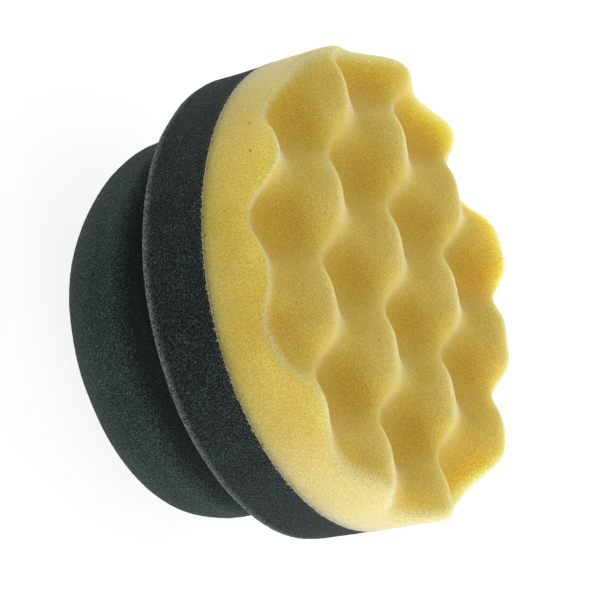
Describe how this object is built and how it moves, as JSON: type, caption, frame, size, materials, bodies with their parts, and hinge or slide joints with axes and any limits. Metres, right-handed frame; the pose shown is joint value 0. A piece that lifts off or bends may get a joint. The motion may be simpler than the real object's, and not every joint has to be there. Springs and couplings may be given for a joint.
{
  "type": "polishing pad",
  "caption": "Round hand polishing pad: yellow waffle-cut foam face bonded to a charcoal foam backing disc, with a finger groove and a rounded foam palm grip behind it.",
  "frame": {"origin": "on the surface that the grip's flat back rests on, under the centre of the disc-shaped pad", "axes": "+Z from the grip's back towards the waffle face, along the pad's axis; +X the way the grip is set off-centre; +Y completes the right-handed frame"},
  "size_m": [0.13, 0.13, 0.0816],
  "materials": {
    "yellow_foam": "matt, fine-pored soft polyurethane foam",
    "charcoal_foam": "matt, open-pored firm polyurethane foam",
    "glue_web": "dull hot-melt adhesive web"
  },
  "bodies": {
    "root": {"grip_foam": "charcoal_foam", "neck_grip_bond": "glue_web", "neck_foam": "charcoal_foam", "neck_flange_bond": "glue_web", "flange_foam": "charcoal_foam", "face_bond": "glue_web", "face_foam": "yellow_foam"}
  },
  "joints": []
}
